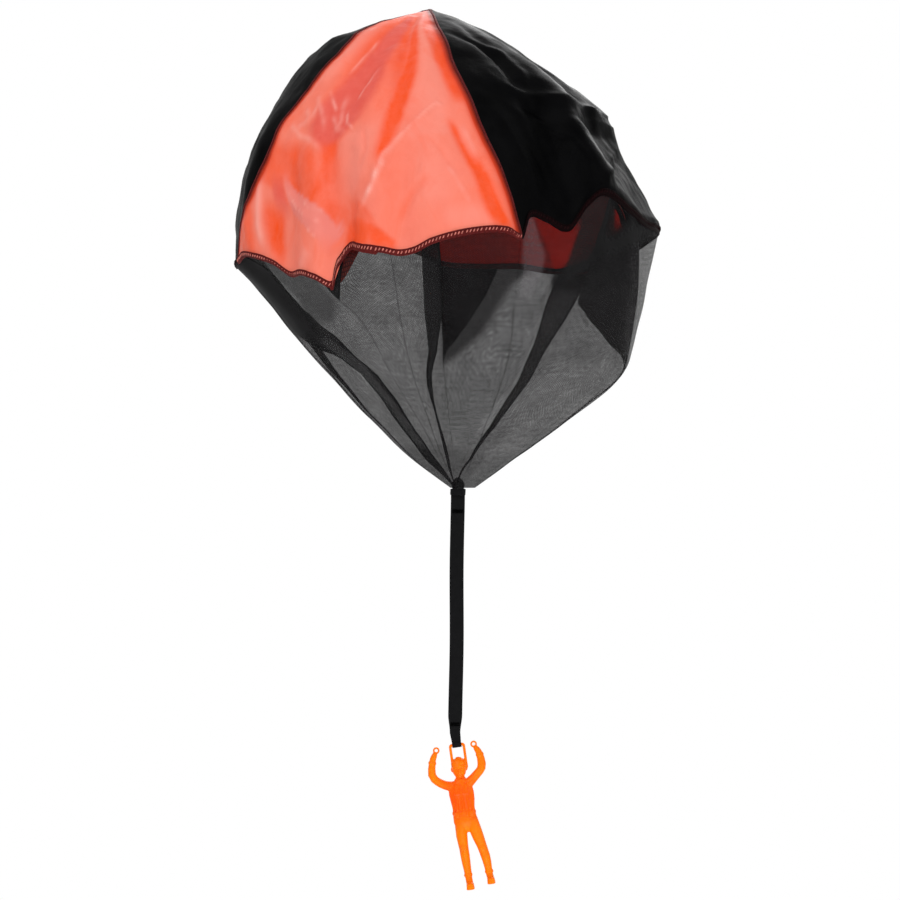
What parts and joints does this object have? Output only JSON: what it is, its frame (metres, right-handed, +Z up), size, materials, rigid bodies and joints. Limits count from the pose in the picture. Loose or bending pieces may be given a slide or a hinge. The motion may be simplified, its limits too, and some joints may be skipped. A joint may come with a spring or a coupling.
{
  "type": "toy parachute",
  "caption": "Hand-thrown toy parachute: domed canopy of orange and black nylon gores, mesh skirt drawn to a gather, flat strap, and a moulded jumper hung by a loop over its head.",
  "frame": {"origin": "the canopy's apex, by which the parachute hangs", "axes": "+Z up, -Y towards the viewer of the picture, +X to that viewer's right"},
  "size_m": [0.2432, 0.2435, 0.4996],
  "materials": {
    "orange_nylon": "thin coral-orange nylon with a slight sheen",
    "black_nylon": "thin black nylon with a slight sheen",
    "black_tulle": "fine black tulle, seen through",
    "stitch_thread": "dark sewing thread",
    "strap_webbing": "matt black woven tape",
    "orange_plastic": "slightly translucent orange moulding"
  },
  "bodies": {
    "canopy": {"gore_front": "orange_nylon", "gore_right": "black_nylon", "gore_rear": "orange_nylon", "gore_left": "black_nylon", "gore_seam_1": "stitch_thread", "gore_seam_2": "stitch_thread", "gore_seam_3": "stitch_thread", "gore_seam_4": "stitch_thread", "hem_overlock_front": "stitch_thread", "hem_overlock_right": "stitch_thread", "hem_overlock_rear": "stitch_thread", "hem_overlock_left": "stitch_thread", "apex_tack": "stitch_thread", "skirt_front": "black_tulle", "skirt_right": "black_tulle", "skirt_rear": "black_tulle", "skirt_left": "black_tulle", "skirt_seam_1": "stitch_thread", "skirt_seam_2": "stitch_thread", "skirt_seam_3": "stitch_thread", "skirt_seam_4": "stitch_thread"},
    "gather": {"gather_bunch": "black_tulle", "gather_whipping": "stitch_thread"},
    "strap_top": {"strap_head": "strap_webbing", "head_tack": "stitch_thread"},
    "strap_upper": {"strap_upper": "strap_webbing"},
    "strap_lower": {"strap_lower": "strap_webbing", "eye_tack": "stitch_thread"},
    "eye": {"strap_eye": "strap_webbing"},
    "jumper": {"jumper": "orange_plastic"}
  },
  "joints": [
    {"name": "skirt_collapse", "type": "slide", "parent": "canopy", "child": "gather", "axis": [0, 0, 1], "range_m": [0, 0.06], "deforming": ["skirt_front", "skirt_right", "skirt_rear", "skirt_left", "skirt_seam_1", "skirt_seam_2", "skirt_seam_3", "skirt_seam_4"]},
    {"name": "strap_twist", "type": "hinge", "parent": "gather", "child": "strap_top", "pos_m": [0.0159, 0, -0.2761], "axis": [0.0122, 0, 0.9999], "range_deg": [-180, 180]},
    {"name": "strap_swing", "type": "hinge", "parent": "strap_top", "child": "strap_upper", "pos_m": [0.01574, 0, -0.2891], "axis": [0.9999, 0, -0.0122], "range_deg": [-60, 60]},
    {"name": "strap_fold", "type": "hinge", "parent": "strap_upper", "child": "strap_lower", "pos_m": [0.01502, 0, -0.34809], "axis": [0.9999, 0, -0.0122], "range_deg": [-75, 75]},
    {"name": "jumper_rock", "type": "hinge", "parent": "strap_lower", "child": "eye", "pos_m": [0.01426, 0, -0.41039], "axis": [0, 1, 0], "range_deg": [-12, 28]},
    {"name": "jumper_swing", "type": "hinge", "parent": "eye", "child": "jumper", "pos_m": [0.01523, 0, -0.41732], "axis": [0.9903, 0, 0.1392], "range_deg": [-120, 120]}
  ]
}
